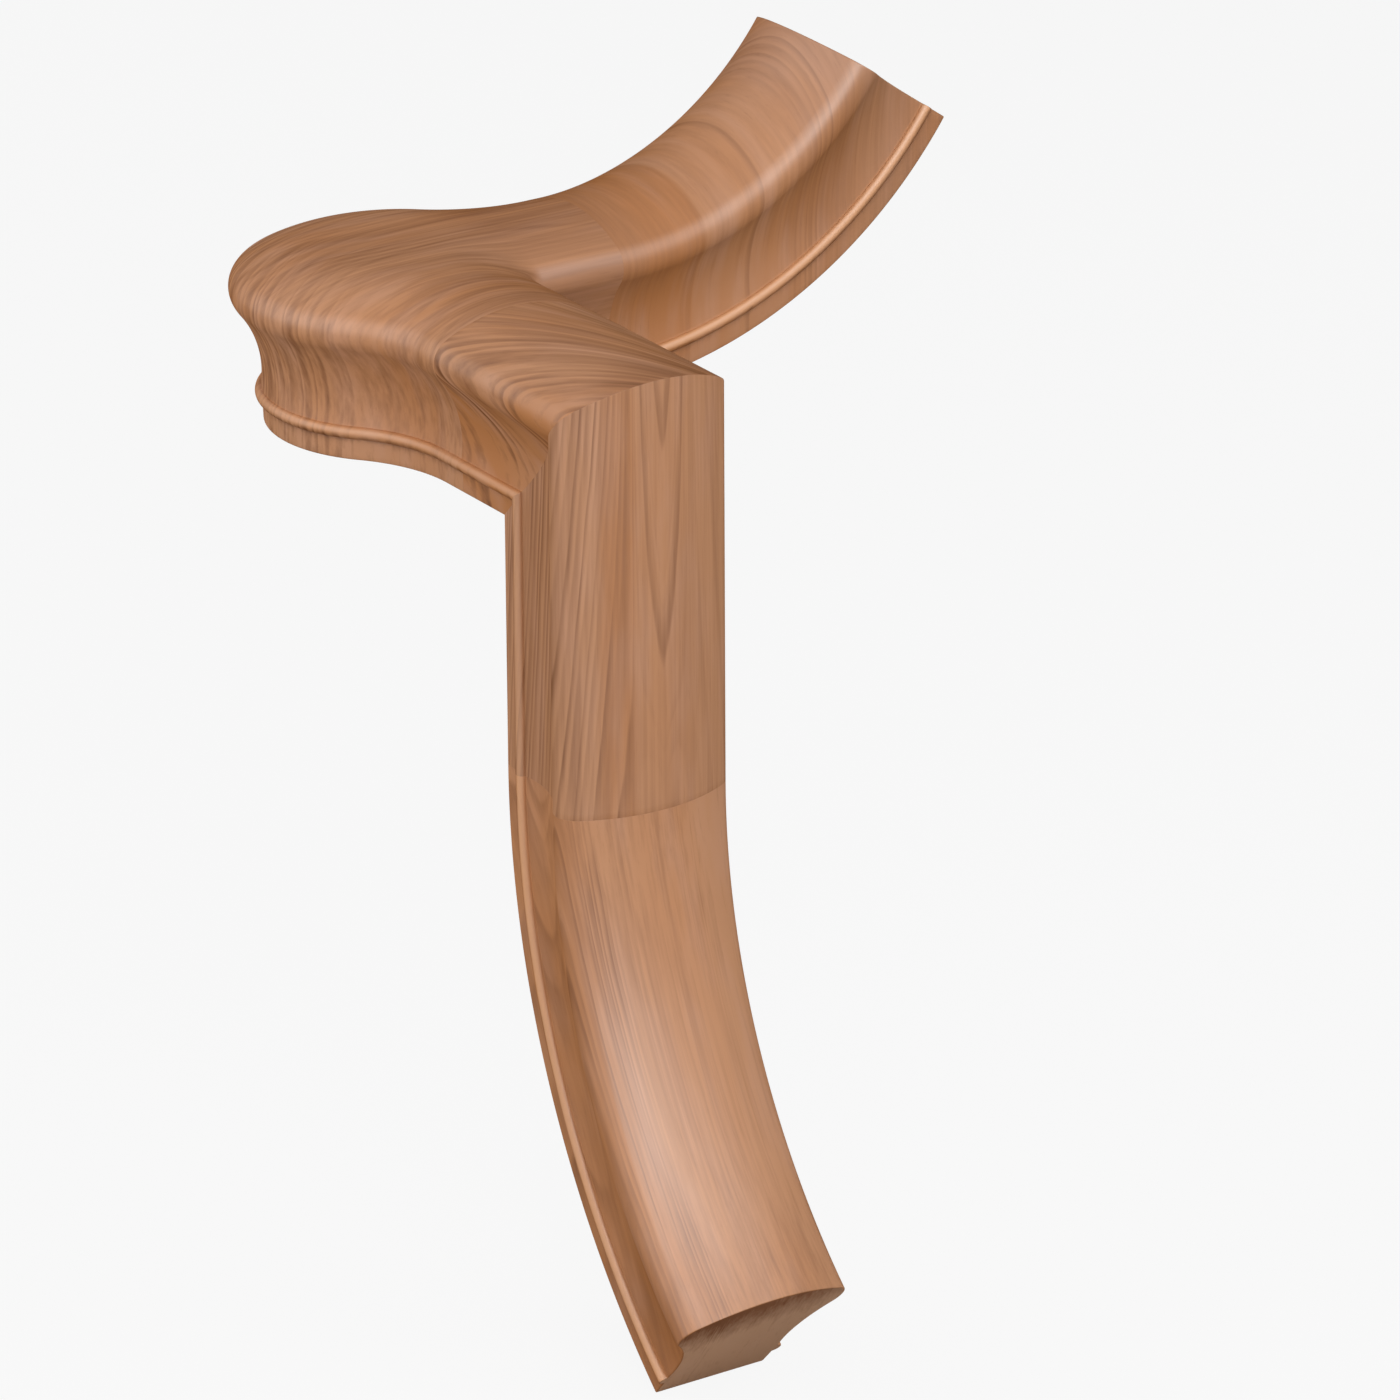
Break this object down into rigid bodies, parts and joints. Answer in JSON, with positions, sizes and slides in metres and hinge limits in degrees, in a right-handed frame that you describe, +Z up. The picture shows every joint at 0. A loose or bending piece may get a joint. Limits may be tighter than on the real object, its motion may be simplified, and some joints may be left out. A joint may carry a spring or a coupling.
{
  "type": "handrail gooseneck fitting",
  "caption": "Wooden quarter-turn handrail gooseneck: moulded rail that rises from a curved easing up a drop, over a mitre to a round newel cap, and on into an upper easing.",
  "frame": {"origin": "axis of the newel post at the underside of the round cap", "axes": "+Z up along the newel axis, +X along the level rail towards the drop, +Y along the upper easing"},
  "size_m": [0.2943, 0.274, 0.4046],
  "materials": {
    "cap_wood": "sanded satin",
    "level_wood": "sanded satin",
    "drop_wood": "sanded satin",
    "lower_wood": "sanded satin",
    "upper_wood": "sanded satin",
    "dowel_wood": "bare sawn"
  },
  "bodies": {
    "root": {"newel_cap": "cap_wood", "level_rail": "level_wood", "drop_rail": "drop_wood", "lower_easing": "lower_wood", "upper_easing": "upper_wood", "cap_rail_dowels": "dowel_wood", "cap_easing_dowels": "dowel_wood", "mitre_dowels": "dowel_wood", "drop_dowels": "dowel_wood"}
  },
  "joints": []
}
